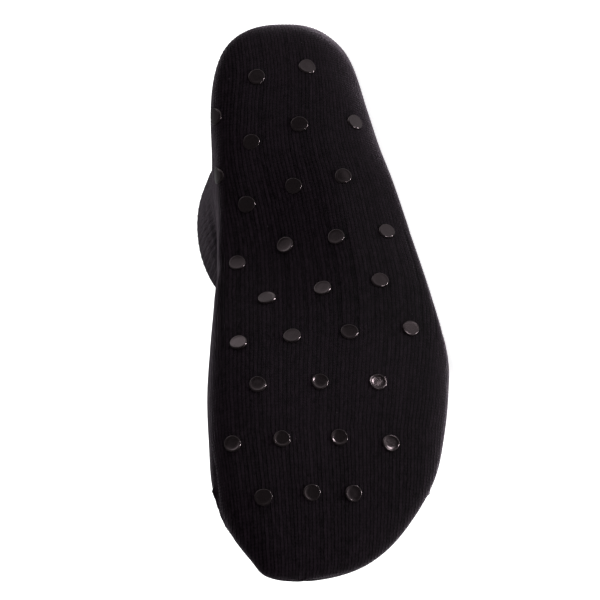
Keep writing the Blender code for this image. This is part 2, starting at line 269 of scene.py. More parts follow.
Bump = namedtuple("Bump", "distance strength")
KNIT_BUMP = Bump(0.25 * MM, 0.9)
TERRY_BUMP = Bump(0.8 * MM, 1.0)
WAVY_BUMP = Bump(0.25 * MM, 0.4)

WHITE = (1.0, 1.0, 1.0, 1.0)
BLACK = (0.0, 0.0, 0.0, 1.0)
KNIT_DARK = (0.0006, 0.0002, 0.0005, 1.0)
KNIT_LIGHT = (0.0110, 0.0068, 0.0102, 1.0)
KNIT_SHEEN = (1.0, 0.86, 1.0, 1.0)
LINT = (0.030, 0.025, 0.029, 1.0)
TERRY_DARK = (0.0010, 0.0006, 0.0010, 1.0)
TERRY_LIGHT = (0.0120, 0.0090, 0.0115, 1.0)
GRIP_DARK = (0.0036, 0.0026, 0.0029, 1.0)
GRIP_LIGHT = (0.0076, 0.0058, 0.0063, 1.0)
GRIP_MIRROR = (1.0, 0.80, 0.86, 1.0)
FLOOR_DARK = (0.80, 0.80, 0.80, 1.0)
FLOOR_LIGHT = (0.84, 0.84, 0.84, 1.0)
GRIP_ROUGHNESS = 0.13
GRIP_DUST_ROUGHNESS = 0.08

# How much each part of the knit's pattern adds to its height and to its shade. The gap and groove parts
# darken the ribs' gaps and the gore's groove with painted shade
KNIT_HEIGHT = {"column": 0.35, "broken": 0.40, "stitch": 0.40, "fuzz": 0.70, "groove": -0.60}
KNIT_SHADE = {
    "column": 0.16, "broken": 0.65, "stitch": 0.20, "fuzz": 0.65, "heather": 0.60, "cloudy": 0.35,
    "wale": 0.25, "gap": -0.32, "groove": -0.35,
}
KNIT_SHADE_FROM = -0.87
# Wales sway by this share, stitches slant, and streaks break the columns up
SWAY_WALES = 0.5
STITCH_SLANT = 1.1
STREAK_WALES = 0.9
STREAK_COURSES = 0.3
STREAK_GAIN = 2.4
STREAK_FROM = -0.7


def ease(value):
    share = np.clip(value, 0.0, 1.0)
    return share * share * (3 - 2 * share)


def section_columns():
    """Real sizes of each column, with the row beyond the tip mirrored so that the toe closes round."""
    columns = {}
    for field in Section._fields[1:]:
        shares = np.array([getattr(row, field) for row in SECTIONS])
        columns[field] = shares * SIZE_OF_COLUMN.get(field, 1.0)
    mirrored = {"medial": "lateral", "lateral": "medial", "sole_z": "top_z", "top_z": "sole_z"}
    beyond = {}
    for field in columns:
        opposite = columns[mirrored.get(field, field)][1]
        beyond[field] = -opposite if field in ("medial", "lateral") else opposite
    return columns, beyond


COLUMNS, BEYOND_TIP = section_columns()


def cuff_share(sizes):
    """How far a section is into the cuff: 0 below it, 1 on its thicker wall."""
    collar_height = SECTIONS[-1].top_z * INSTEP_HEIGHT
    below_collar = collar_height - (sizes["sole_z"] + sizes["top_z"]) / 2
    return float(ease((CUFF_LENGTH - below_collar) / CUFF_RAMP))


def section_at(station):
    """One section's sizes at a station counted in table rows, smooth between the rows."""
    last = len(SECTIONS) - 1
    row = min(int(station), last - 1)
    share = station - row
    sizes = {}
    for field, values in COLUMNS.items():
        before = values[row - 1] if row > 0 else BEYOND_TIP[field]
        start, end = values[row], values[row + 1]
        after = values[row + 2] if row + 2 <= last else 2 * end - start
        slope_start = (end - before) / 2
        slope_end = (after - start) / 2
        sizes[field] = (
            (2 * share**3 - 3 * share**2 + 1) * start
            + (share**3 - 2 * share**2 + share) * slope_start
            + (3 * share**2 - 2 * share**3) * end
            + (share**3 - share**2) * slope_end
        )
    proud = CUFF_STEP * cuff_share(sizes)
    sizes["medial"] += proud
    sizes["lateral"] += proud
    sizes["sole_x"] -= proud
    sizes["top_x"] += proud
    return sizes


def section_outline(sizes):
    """Closed outline in a section's plane: y across and the way from its sole point to its top."""
    angle = np.linspace(0.0, 2 * math.pi, OUTLINE_STEPS + 1)
    across, upward = np.sin(angle), -np.cos(angle)
    below = upward < 0
    sole_power = np.where(across > 0, sizes["inner_power"], sizes["outer_power"])
    power = 2 / np.where(below, sole_power, sizes["top_power"])
    wide = np.sign(across) * np.abs(across) ** power
    high = np.sign(upward) * np.abs(upward) ** power

    tall = math.hypot(sizes["top_x"] - sizes["sole_x"], sizes["top_z"] - sizes["sole_z"])
    reach = np.where(below, sizes["widest"], 1 - sizes["widest"])
    height = tall * (sizes["widest"] + reach * high)
    half_width = (sizes["medial"] + sizes["lateral"]) / 2
    middle = (sizes["medial"] - sizes["lateral"]) / 2
    height += sizes["arch"] * ease(wide + ARCH_REACH) * np.clip(-high, 0.0, 1.0)
    y = middle + half_width * wide
    y += sizes["ridge"] * np.clip(high, 0.0, 1.0) ** 2
    y += sizes["keel"] * np.clip(-high, 0.0, 1.0) ** 2
    return y, height, tall


def girth_at(station):
    y, height, _ = section_outline(section_at(station))
    return float(np.sum(np.hypot(np.diff(y), np.diff(height))))


def station_along(distance):
    """Station whose sole point lies at a distance from the back of the heel."""
    stations = np.linspace(ROW_OF["toe_tip"], ROW_OF["heel_low"], OUTLINE_STEPS)
    places = np.array([section_at(station)["sole_x"] for station in stations])
    return float(np.interp(distance, places[::-1], stations[::-1]))


def rest_on_floor(points):
    """Flattens what would sink below the floor, with a soft edge round each flat spot."""
    normal = np.array((math.sin(FLOOR_ANGLE), math.cos(FLOOR_ANGLE), 0.0))
    clearance = points @ normal + LIES_AT[2]
    eased = np.clip(clearance + FLOOR_BLEND, 0.0, None) ** 2 / (4 * FLOOR_BLEND)
    lifted = np.where(clearance < FLOOR_BLEND, eased, clearance)
    return points + (lifted - clearance)[..., None] * normal


def keep_off_floor(points):
    """The knit's ribs press flat where the sock lies on the floor."""
    normal = np.array((math.sin(FLOOR_ANGLE), math.cos(FLOOR_ANGLE), 0.0))
    depth = np.minimum(points @ normal + LIES_AT[2], 0.0)
    return points - depth[..., None] * normal


def sock_points(station, turns):
    """Points of the sock's outer face. Turns count the girth from the sole's middle, inner side first."""
    sizes = section_at(station)
    y, height, tall = section_outline(sizes)
    girth = np.concatenate(([0.0], np.cumsum(np.hypot(np.diff(y), np.diff(height)))))
    place = np.mod(turns, 1.0) * girth[-1]
    rise = np.interp(place, girth, height / tall) if tall > 0 else np.zeros(len(turns))
    points = np.column_stack((
        sizes["sole_x"] + (sizes["top_x"] - sizes["sole_x"]) * rise,
        np.interp(place, girth, y),
        sizes["sole_z"] + (sizes["top_z"] - sizes["sole_z"]) * rise,
    ))
    return rest_on_floor(points)


def surface(stations, turns):
    """Rings of points, with the same turns in each ring or with a row of turns for each."""
    turns = np.broadcast_to(turns, (len(stations), np.shape(turns)[-1]))
    return np.stack([sock_points(station, row) for station, row in zip(stations, turns)])


def surface_path(stations, turns):
    """Points of the outer face along a line of stations and turns."""
    return [sock_points(station, np.array([turn]))[0] for station, turn in zip(stations, turns)]


def surface_normals(points):
    """Outward normals of a grid of rings, from its neighbours along and around."""
    along = np.gradient(points, axis=0)
    around = np.roll(points, -1, axis=1) - np.roll(points, 1, axis=1)
    normals = np.cross(along, around)
    return normals / np.maximum(np.linalg.norm(normals, axis=2, keepdims=True), 1e-12)


def even_stations(count, first):
    """Stations whose rings lie evenly along the sock's longest side, and closer round the toe seam."""
    fine = np.linspace(first, len(SECTIONS) - 1, OUTLINE_STEPS)
    lines = surface(fine, np.arange(LENGTH_LINES) / LENGTH_LINES)
    steps = np.linalg.norm(np.diff(lines, axis=0), axis=2).max(axis=1)
    at_seam = (fine[1:] > SEAM_STATIONS[0]) & (fine[1:] < SEAM_STATIONS[1])
    length = np.concatenate(([0.0], np.cumsum(steps * np.where(at_seam, SEAM_DENSITY, 1.0))))
    return np.interp(np.linspace(0.0, length[-1], count), length, fine)


def pose_matrix():
    """Turns the foot's frame into the part's frame, with the sock on its outer side."""
    sine, cosine = math.sin(FLOOR_ANGLE), math.cos(FLOOR_ANGLE)
    turned = Matrix(((-cosine, sine, 0.0), (0.0, 0.0, 1.0), (sine, cosine, 0.0)))
    return Matrix.Translation(LIES_AT) @ turned.to_4x4()


POSE = np.array(pose_matrix())


def to_part(points):
    return points @ POSE[:3, :3].T + POSE[:3, 3]


def new_mesh(name, points, faces, material):
    """A smooth mesh object in the part's frame from points in the foot's frame."""
    mesh = bpy.data.meshes.new(name)
    mesh.from_pydata(to_part(points).tolist(), [], faces)
    mesh.shade_smooth()
    mesh.materials.append(material)
    made = bpy.data.objects.new(name, mesh)
    bpy.context.scene.collection.objects.link(made)
    return made


def ring_faces(first, rings, sides, flip=False):
    """Faces between rings of points that follow each other from the first point on."""
    faces = []
    for near in range(first, first + (rings - 1) * sides, sides):
        far = near + sides
        for j in range(sides):
            k = (j + 1) % sides
            if flip:
                faces.append((near + j, far + j, far + k, near + k))
            else:
                faces.append((near + j, near + k, far + k, far + j))
    return faces


def fan_faces(centre, first, sides, flip=False):
    """Faces from a ring of points to its centre."""
    faces = []
    for j in range(sides):
        k = (j + 1) % sides
        faces.append((centre, first + k, first + j) if flip else (centre, first + j, first + k))
    return faces


def add_values(piece, name, values):
    """One number at each point of a piece, for its material to read."""
    layer = piece.data.attributes.new(name, "FLOAT", "POINT")
    layer.data.foreach_set("value", values.astype(np.float32))


class KnitChart:
    """Wale and course counts at each point of the sock's face, as the machine knits it.

    Round foot and leg the wales follow the mesh columns. In the toe pocket they run straight on from the
    ball and end at its sides.
    """

    def __init__(self):
        turns = np.arange(SIDES) / SIDES
        ring = sock_points(TOE_KNIT_FROM, turns)
        self.inner = turns[np.argmax(ring[:, 1])]
        self.outer = turns[np.argmin(ring[:, 1])] - 1.0
        sole = np.linspace(self.outer, self.inner, OUTLINE_STEPS)
        top = np.linspace(self.inner, self.outer + 1.0, OUTLINE_STEPS)
        self.sole_y = sock_points(TOE_KNIT_FROM, sole)[:, 1]
        self.sole_wales = sole * WALES
        self.top_y = sock_points(TOE_KNIT_FROM, top)[:, 1]
        self.top_wales = top * WALES
        self.start = ring[:, 0].mean()
        self.tip = SECTIONS[0].sole_x * SOCK_LENGTH

    def toe_wales(self, points, on_sole):
        """Wale counts in the toe pocket, from the place across the foot."""
        ahead = np.clip((points[..., 0] - self.start) / (self.tip - self.start), 0.0, 1.0)
        middle = SECTIONS[0].medial * BALL_WIDTH
        y = middle + (points[..., 1] - middle) / (1 - TOE_TAPER * ahead)
        sole = np.interp(y, self.sole_y, self.sole_wales)
        top = np.interp(-y, -self.top_y, self.top_wales)
        return np.where(on_sole, sole, top)


def knit_shares():
    """Place of each mesh column among the wales, from -0.5 to 0.5 with 0 at the middle of the sole."""
    shares = np.arange(SIDES) / SIDES
    return np.where(shares < 0.5, shares, shares - 1.0)


def knit_turns(station):
    """Turns of the mesh columns, which follow the wales and lie closer together under the heel."""
    shares = knit_shares()
    y, _, _ = section_outline(section_at(station))
    girth = girth_at(station)
    under = 1 - ease((np.abs(shares) - SOLE_SHARE) / FLANK_SHARE)
    drawn = np.interp(station, HEEL_PITCH_STATIONS, HEEL_PITCH_DRAWN)
    closer = drawn * (min(1.0, WALES * HEEL_PITCH / girth) - 1)
    arch, seat = ROW_OF["arch"], ROW_OF["heel_seat"]
    shift = float(ease((station - arch) / (seat - arch))) * (HEEL_MIDDLE - y[0]) / girth
    return shares * (1 + closer * under) + shift * under


def gore_distance(points):
    """Distance from the heel's gore line as seen from the side, positive on the leg's side."""
    run = np.subtract(GORE_ANKLE, GORE_HEEL)
    across = (points[..., 2] - GORE_HEEL[1]) * run[0] - (points[..., 0] - GORE_HEEL[0]) * run[1]
    return across / np.linalg.norm(run)


def gore_lines(points):
    """Distance in millimetres from the gore, which ends on each side before the heel's middle."""
    from_middle = np.abs(knit_shares()) * WALES
    ends = 1 - ease((from_middle - GORE_FROM_WALE) / GORE_FADE_WALES)
    return np.abs(gore_distance(points)) / MM + GORE_FAR * ends


def path_distance(points, path):
    """Distance of each point to a line of places, and how far along the line (0 to 1) it is nearest."""
    nearest = np.full(points.shape[:-1], np.inf)
    share = np.zeros(points.shape[:-1])
    for number, place in enumerate(path):
        distance = np.linalg.norm(points - place, axis=-1)
        closer = distance < nearest
        nearest = np.where(closer, distance, nearest)
        share = np.where(closer, number / (len(path) - 1), share)
    return nearest, share


def crease_relief(points):
    """Troughs of the soft folds, with a low ridge on both sides, fading at their ends."""
    total = np.zeros(points.shape[:-1])
    steps = np.linspace(0.0, 1.0, CREASE_STEPS)
    for crease in CREASES:
        stations = crease.start[0] + (crease.end[0] - crease.start[0]) * steps
        turns = crease.start[1] + (crease.end[1] - crease.start[1]) * steps
        distance, share = path_distance(points, surface_path(stations, turns))
        across = (distance / crease.width) ** 2
        fade = np.sin(math.pi * share) ** CREASE_FADE
        total -= crease.depth * (1 - CREASE_RIDGE * across) * np.exp(-across) * fade
    return total


def seam_relief(points):
    """A low uneven ridge along the toe seam, with a small ear where it starts at the inner side."""
    shares, turns = np.array(TOE_SEAM).T
    corners = np.arange(len(TOE_SEAM))
    steps = np.linspace(0.0, corners[-1], SEAM_STEPS)
    stations = [station_along(share * SOCK_LENGTH) for share in np.interp(steps, corners, shares)]
    distance, along = path_distance(points, surface_path(stations, np.interp(steps, corners, turns)))
    waves = np.sin(along * SEAM_WAVES[0]) * np.sin(along * SEAM_WAVES[1] + SEAM_WAVE_START)
    height = SEAM_HEIGHT * (1 - SEAM_UNEVEN + SEAM_UNEVEN * waves)
    height = height + SEAM_EAR * np.exp(-((along / SEAM_EAR_REACH) ** 2))
    return height * np.exp(-((distance / SEAM_WIDTH) ** 2))


def rib_gaps(points):
    """How deep each point lies in a gap between ribs, from 0 to 1, round the arch and up the leg. It sinks
    the ribs' relief and sets their painted shade.
    """
    wales = np.arange(SIDES) / SIDES_PER_WALE
    x, z = points[..., 0], points[..., 2]
    in_arch = ease((x - ARCH_BAND[0]) / BAND_EDGE) * ease((ARCH_BAND[1] - x) / BAND_EDGE)
    in_arch = in_arch * (gore_distance(points) < 0)
    in_leg = ease((z - LEG_RIB_FROM) / BAND_EDGE)
    in_gap = np.clip(np.mod(wales, ARCH_RIB_WALES) - ARCH_RIB_GAP_AT, 0, 1)
    arch = 0.5 - 0.5 * np.cos(2 * math.pi * in_gap)
    leg = 0.5 - 0.5 * np.cos(2 * math.pi * wales / LEG_RIB_WALES)
    return arch * in_arch, leg * in_leg


def slack_relief(points, turns):
    """Slow waves of slack, one along the foot and one up the leg."""
    angle = 2 * math.pi * turns
    swing = SLACK_SWING * np.sin(SLACK_ROUND[0] * angle)
    along = np.sin(points[..., 0] / SLACK_LENGTH[0] + swing)
    upward = np.sin(points[..., 2] / SLACK_LENGTH[1] + SLACK_ROUND[1] * angle + SLACK_START)
    return SLACK_HEIGHT[0] * along + SLACK_HEIGHT[1] * upward


def knit_relief(points, turns, stations):
    """Height of ribs, gore, slack, folds and seam over the sock's plain face."""
    wales = np.arange(SIDES) / SIDES_PER_WALE
    toe = ease((TOE_KNIT_FROM + TOE_BLEND - stations) / TOE_BLEND)[:, None]
    plain = WALE_RELIEF * np.cos(2 * math.pi * wales) * (1 - toe)
    arch, leg = rib_gaps(points)
    ribs = -ARCH_RIB_RELIEF * arch - LEG_RIB_RELIEF * leg
    gore = -GORE_RELIEF * np.exp(-gore_lines(points) ** 2)
    return plain + ribs + gore + slack_relief(points, turns) + crease_relief(points) + seam_relief(points)


def lining_rings():
    """Rings of the inner face, a wall's thickness inside the outer one."""
    stations = even_stations(LINING_RINGS, LINING_FROM)
    base = surface(stations, np.arange(LINING_SIDES) / LINING_SIDES)
    depth = np.array([WALL + CUFF_STEP * cuff_share(section_at(station)) for station in stations])
    return base - surface_normals(base) * depth[:, None, None]


def lip_rings(edge, outward):
    """Rings that round the collar's edge over, from the outer to the inner face."""
    rings = []
    for angle in np.radians(LIP_ANGLES):
        inward = -outward * (WALL + CUFF_STEP) * (1 - math.cos(angle)) / 2
        rings.append(edge + inward + np.array((0.0, 0.0, LIP_RISE)) * math.sin(angle))
    return np.stack(rings)


def collar_faces(outer, inner):
    """Faces from the lip's last ring to the lining's last ring, which has fewer points."""
    span = SIDES // LINING_SIDES
    faces = []
    for m in range(LINING_SIDES):
        edge = [outer + (m * span + step) % SIDES for step in range(span + 1)]
        faces.append((*edge, inner + (m + 1) % LINING_SIDES, inner + m))
    return faces


def sock_faces(outer_rings):
    """Faces of tip, outer face with lip, collar and lining, whose points follow in that order."""
    lining = 1 + outer_rings * SIDES
    lining_end = lining + (LINING_RINGS - 1) * LINING_SIDES
    faces = fan_faces(0, 1, SIDES, flip=True)
    faces += ring_faces(1, outer_rings, SIDES)
    faces += collar_faces(lining - SIDES, lining_end)
    faces += ring_faces(lining, LINING_RINGS, LINING_SIDES, flip=True)
    faces += fan_faces(lining_end + LINING_SIDES, lining, LINING_SIDES)
    return faces


def add_face_values(sock, name, values, elsewhere):
    """Numbers for the points of the outer face, and one number for all other points."""
    everywhere = np.full(len(sock.data.vertices), elsewhere)
    everywhere[1:1 + values.size] = values.ravel()
    add_values(sock, name, everywhere)


class Corners:
    """Corners of a mesh's faces: the point of each, and what a face's corners have in common."""

    def __init__(self, mesh):
        self.counts = np.array([polygon.loop_total for polygon in mesh.polygons])
        self.starts = np.array([polygon.loop_start for polygon in mesh.polygons])
        self.faces = np.repeat(np.arange(len(self.counts)), self.counts)
        self.points = np.zeros(len(mesh.loops), dtype=int)
        mesh.loops.foreach_get("vertex_index", self.points)

    def first(self, values):
        return values[self.starts][self.faces]

    def largest(self, values):
        return np.maximum.reduceat(values, self.starts)[self.faces]

    def mean(self, values):
        return (np.add.reduceat(values, self.starts) / self.counts)[self.faces]


def corner_columns(corners, rings):
    """Mesh column of each corner of the outer face, and the same counted on where a face closes a ring."""
    on_outer = (corners.points >= 1) & (corners.points < 1 + rings * SIDES)
    columns = np.where(on_outer, (corners.points - 1) % SIDES, 0)
    closes = (corners.first(columns) > SIDES // 2) & (columns < SIDES // 4)
    closes |= (columns == 0) & (corners.largest(columns) == SIDES - 1)
    return columns, columns + np.where(closes, SIDES, 0)


def course_lengths(base, first_ring):
    """Length along each mesh column from the ring where the toe pocket starts."""
    steps = np.linalg.norm(np.diff(base, axis=0), axis=2)
    lengths = np.concatenate((np.zeros((1, SIDES)), np.cumsum(steps, axis=0)))
    return lengths - lengths[first_ring]


def chart_knit(sock, points, base, stations):
    """Lays the knit's wale and course counts on the outer faces as a UV map."""
    chart = KnitChart()
    corners = Corners(sock.data)
    places = points[corners.points]
    columns, counted = corner_columns(corners, len(base) + len(LIP_ANGLES))
    ring = np.clip((corners.points - 1) // SIDES, 0, len(base) - 1)
    turn = counted / SIDES

    face_turn = corners.mean(turn)
    signed = np.where(face_turn > 0.5, face_turn - 1.0, face_turn)
    on_sole = (signed < chart.inner) & (signed > chart.outer)
    in_toe = corners.largest(stations[ring]) <= TOE_KNIT_FROM + 1e-6
    wales = np.where(in_toe, chart.toe_wales(places, on_sole), turn * WALES)

    first_ring = np.argmax(stations >= TOE_KNIT_FROM)
    behind = course_lengths(base, first_ring)[ring, columns]
    ahead = base[first_ring, columns, 0] - places[:, 0]
    courses = np.where(in_toe, ahead, behind) / COURSE
    layer = sock.data.uv_layers.new(name="knit")
    layer.data.foreach_set("uv", np.column_stack((wales, courses)).astype(np.float32).ravel())


def build_sock(material, lining):
    """The sock as one mesh: outer face with its relief, rounded collar and lining."""
    stations = even_stations(RINGS, SKIN_FROM)
    turns = np.stack([knit_turns(station) for station in stations])
    base = surface(stations, turns)
    normals = surface_normals(base)
    outer = keep_off_floor(base + normals * knit_relief(base, turns, stations)[..., None])
    outer = np.concatenate((outer, lip_rings(base[-1], normals[-1])))
    inner = lining_rings()
    tip = sock_points(0.0, np.array([0.0]))
    inner_tip = inner[0].mean(axis=0, keepdims=True)
    points = np.concatenate((tip, outer.reshape(-1, 3), inner.reshape(-1, 3), inner_tip))

    sock = new_mesh("knit_sock_surface", points, sock_faces(len(outer)), material)
    sock.data.materials.append(lining)
    first_inner = 1 + len(outer) * SIDES
    for polygon in sock.data.polygons:
        polygon.material_index = int(polygon.vertices[0] >= first_inner)
    chart_knit(sock, points, base, stations)
    # Depth in the ribs' gaps, which the knit's material paints as shade
    arch, leg = rib_gaps(base)
    add_face_values(sock, "painted_rib_gap_shade", arch + LEG_GAP_SHADE * leg, 0.0)
    add_face_values(sock, "gore", gore_lines(base), GORE_FAR)
    return sock


class Graph:
    """Short ways to add shader nodes to one material."""

    def __init__(self, name):
        self.material = bpy.data.materials.new(name)
        self.material.use_nodes = True
        self.tree = self.material.node_tree
        self.shader = self.tree.nodes["Principled BSDF"]

    def link(self, source, target):
        if isinstance(source, bpy.types.NodeSocket):
            self.tree.links.new(source, target)
        else:
            target.default_value = source

    def math(self, operation, *values):
        node = self.tree.nodes.new("ShaderNodeMath")
        node.operation = operation
        for socket, value in zip(node.inputs, values):
            self.link(value, socket)
        return node.outputs[0]

    def values(self, name):
        node = self.tree.nodes.new("ShaderNodeAttribute")
        node.attribute_name = name
        return node.outputs["Fac"]

    def coordinates(self):
        return self.tree.nodes.new("ShaderNodeTexCoord").outputs["Object"]

    def set(self, looks):
        """Sets the shader's own sockets, each to a fixed value or to another node's output."""
        for name, value in looks.items():
            self.link(value, self.shader.inputs[name])

    def noise(self, vector, grain):
        node = self.tree.nodes.new("ShaderNodeTexNoise")
        self.link(vector, node.inputs["Vector"])
        node.inputs["Scale"].default_value = grain.scale
        node.inputs["Detail"].default_value = grain.detail
        node.inputs["Roughness"].default_value = grain.roughness
        return node.outputs["Fac"]

    def specks(self, vector, scale, reach):
        """Small round spots, strewn at random: 1 at their middle, 0 from their edge on."""
        node = self.tree.nodes.new("ShaderNodeTexVoronoi")
        self.link(vector, node.inputs["Vector"])
        node.inputs["Scale"].default_value = scale
        inside = self.math("SUBTRACT", 1.0, self.math("DIVIDE", node.outputs["Distance"], reach))
        return self.math("MAXIMUM", inside, 0.0)

    def random(self, number):
        node = self.tree.nodes.new("ShaderNodeTexWhiteNoise")
        node.noise_dimensions = "1D"
        self.link(number, node.inputs["W"])
        return node.outputs["Value"]

    def vector(self, x, y):
        node = self.tree.nodes.new("ShaderNodeCombineXYZ")
        self.link(x, node.inputs[0])
        self.link(y, node.inputs[1])
        return node.outputs[0]

    def total(self, parts, weights, start=0.0):
        """Sum of named parts, each with its own weight."""
        result = start
        for name, weight in weights.items():
            result = self.math("MULTIPLY_ADD", parts[name], weight, result)
        return result

    def mix(self, share, dark, light):
        """Colour between two others, each fixed or another node's output."""
        node = self.tree.nodes.new("ShaderNodeMix")
        node.data_type = "RGBA"
        self.link(share, node.inputs[0])
        self.link(dark, node.inputs[6])
        self.link(light, node.inputs[7])
        return node.outputs[2]

    def bump(self, height, bump):
        node = self.tree.nodes.new("ShaderNodeBump")
        node.inputs["Distance"].default_value = bump.distance
        node.inputs["Strength"].default_value = bump.strength
        self.link(height, node.inputs["Height"])
        return node.outputs["Normal"]


def knit_parts(graph):
    """Parts of the knit's pattern: columns, stitches, nap, and the gaps and grooves of its relief, which add
    painted shade.
    """
    uv = graph.tree.nodes.new("ShaderNodeUVMap")
    uv.uv_map = "knit"
    split = graph.tree.nodes.new("ShaderNodeSeparateXYZ")
    graph.link(uv.outputs["UV"], split.inputs[0])
    place = graph.coordinates()
    sway = graph.math("SUBTRACT", graph.noise(place, SWAY), 0.5)
    wales = graph.math("MULTIPLY_ADD", sway, SWAY_WALES, split.outputs[0])
    courses = split.outputs[1]

    number = graph.math("ROUND", wales)
    aside = graph.math("ABSOLUTE", graph.math("SUBTRACT", wales, number))
    column = graph.math("COSINE", graph.math("MULTIPLY", aside, math.pi))
    limb = graph.math("SINE", graph.math("MULTIPLY", aside, 2 * math.pi))
    slant = graph.math("SUBTRACT", courses, graph.math("MULTIPLY", aside, STITCH_SLANT))
    loop = graph.math("SINE", graph.math("MULTIPLY", graph.math("FRACT", slant), math.pi))
    stretched = graph.vector(
        graph.math("MULTIPLY", wales, STREAK_WALES), graph.math("MULTIPLY", courses, STREAK_COURSES)
    )
    streaks = graph.math("MULTIPLY_ADD", graph.noise(stretched, STREAKS), STREAK_GAIN, STREAK_FROM)
    # Groove along the gore: a bump, and painted shade in the knit's colour
    from_gore = graph.math("MINIMUM", graph.math("ABSOLUTE", graph.values("gore")), 1.0)
    return {
        "column": column,
        "broken": graph.math("MULTIPLY", column, streaks),
        "stitch": graph.math("MULTIPLY", limb, loop),
        "fuzz": graph.noise(place, FUZZ),
        "heather": graph.noise(place, HEATHER),
        "cloudy": graph.noise(place, CLOUDS),
        "wale": graph.random(number),
        # Painted shade in the ribs' gaps
        "gap": graph.values("painted_rib_gap_shade"),
        "groove": graph.math("SUBTRACT", 1.0, from_gore),
    }


def knit_material():
    """Black knit with a fine nap, painted shade in the gaps between its ribs and along the gore, and a
    little lint.
    """
    graph = Graph("black_knit")
    parts = knit_parts(graph)
    shade = graph.total(parts, KNIT_SHADE, KNIT_SHADE_FROM)
    lint = graph.specks(graph.coordinates(), LINT_SCALE, LINT_REACH)
    graph.set({
        "Base Color": graph.mix(lint, graph.mix(shade, KNIT_DARK, KNIT_LIGHT), LINT),
        "Roughness": 0.95,
        "Specular IOR Level": 0.035,
        "Sheen Weight": 0.16,
        "Sheen Roughness": 0.30,
        "Sheen Tint": KNIT_SHEEN,
        "Normal": graph.bump(graph.total(parts, KNIT_HEIGHT), KNIT_BUMP),
    })
    return graph.material


def lining_material():
    """Dark terry loops inside the sock."""
    graph = Graph("terry_lining")
    loops = graph.noise(graph.coordinates(), TERRY)
    graph.set({
        "Base Color": graph.mix(loops, TERRY_DARK, TERRY_LIGHT),
        "Roughness": 1.0,
        "Specular IOR Level": 0.05,
        "Normal": graph.bump(loops, TERRY_BUMP),
    })
    return graph.material


def grip_material():
    """Glossy black plastic, slightly wavy and dusty."""
    graph = Graph("black_grip_plastic")
    place = graph.coordinates()
    dust = graph.noise(place, DUST)
    graph.set({
        "Base Color": graph.mix(dust, GRIP_DARK, GRIP_LIGHT),
        "Roughness": graph.math("MULTIPLY_ADD", dust, GRIP_DUST_ROUGHNESS, GRIP_ROUGHNESS),
        "Specular IOR Level": 0.30,
        "Specular Tint": GRIP_MIRROR,
        "Normal": graph.bump(graph.noise(place, WAVY), WAVY_BUMP),
    })
    return graph.material


def dot_places():
    """Name, station, turn and share of length of each grip dot."""
    places = []
    for row in DOT_ROWS:
        for number, (along, aside) in enumerate(zip(row.along, row.aside), start=1):
            station = station_along(along * MM)
            turn = aside * MM / girth_at(station)
            places.append((f"grip_dot_{row.name}_{number}", station, turn, row.long))
    return places


def tangents(station, turn):
    """Change of the outer face per unit of station and of turn, and the normal pointing out."""
    behind, ahead = (sock_points(station + step, [turn])[0] for step in (-SLOPE_STEP, SLOPE_STEP))
    before, after = sock_points(station, np.array((turn - SLOPE_STEP, turn + SLOPE_STEP)))
    along = (ahead - behind) / (2 * SLOPE_STEP)
    around = (after - before) / (2 * SLOPE_STEP)
    normal = np.cross(along, around)
    return along, around, normal / np.linalg.norm(normal)


def dot_profile(name):
    """Profile of one dot, with its middle less dished behind the front rows."""
    row = name.removeprefix("grip_dot_").rstrip("_0123456789")
    dish = 1.0 if row in FRONT_ROWS else FLATTER_DISH
    profile = []
    for share, rise in DOT_PROFILE:
        profile.append((share, 1 - dish * (1 - rise) if share < DOT_RIM_SHARE else rise))
    return profile


def uneven_edge(rng, angles):
    """Shares by which a dot's edge leaves a round one, as two slow waves."""
    waves = rng.normal(0.0, 1.0, (2, 2))
    wander = np.zeros(len(angles))
    for count, (cosine, sine) in enumerate(waves, start=2):
        wander += cosine * np.cos(count * angles) + sine * np.sin(count * angles)
    return 1 + DOT_UNEVEN * wander


def seat_points(station, turn, ahead, aside):
    """Points of the outer face ahead of and aside from a place on it, and the normal at that place."""
    along, around, normal = tangents(station, turn)
    across = around / np.linalg.norm(around)
    forward = np.cross(across, normal)
    steps = ahead / (along @ forward)
    turns = turn + (aside - (along @ across) * steps) / np.linalg.norm(around)
    return np.stack(surface_path(station + steps, turns)), normal


def dot_points(rng, name, station, turn, long):
    """Rings of one dot from its sunk foot over its rim to its dished middle, and the middle point."""
    angles = np.arange(DOT_SIDES) / DOT_SIDES * 2 * math.pi
    edge = uneven_edge(rng, angles)
    lean = rng.normal(0.0, DOT_LEAN, 2)
    radius = DOT_DIAMETER / 2 * rng.normal(1.0, DOT_SIZE_SPREAD) * edge
    rings = []
    for share, rise in dot_profile(name):
        ahead = radius * share * math.sqrt(long) * np.cos(angles)
        aside = radius * share / math.sqrt(long) * np.sin(angles)
        seat, normal = seat_points(station, turn, ahead, aside)
        tilt = (lean[0] * ahead + lean[1] * aside) * (rise > 0)
        rings.append(seat + normal * (rise * DOT_HEIGHT + tilt)[:, None])
    rings.append(rings[-1].mean(axis=0, keepdims=True))
    return np.concatenate(rings)


def build_dots(material):
    """All grip dots in one mesh, each a closed form whose foot is sunk in the knit."""
    rng = np.random.default_rng(SEED)
    points, faces = [], []
    for place in dot_places():
        first = sum(len(part) for part in points)
        points.append(dot_points(rng, *place))
        crown = first + (len(DOT_PROFILE) - 1) * DOT_SIDES
        faces += ring_faces(first, len(DOT_PROFILE), DOT_SIDES)
        faces += fan_faces(crown + DOT_SIDES, crown, DOT_SIDES)
        faces.append(tuple(first + j for j in reversed(range(DOT_SIDES))))
    return new_mesh("grip_dots", np.concatenate(points), faces, material)


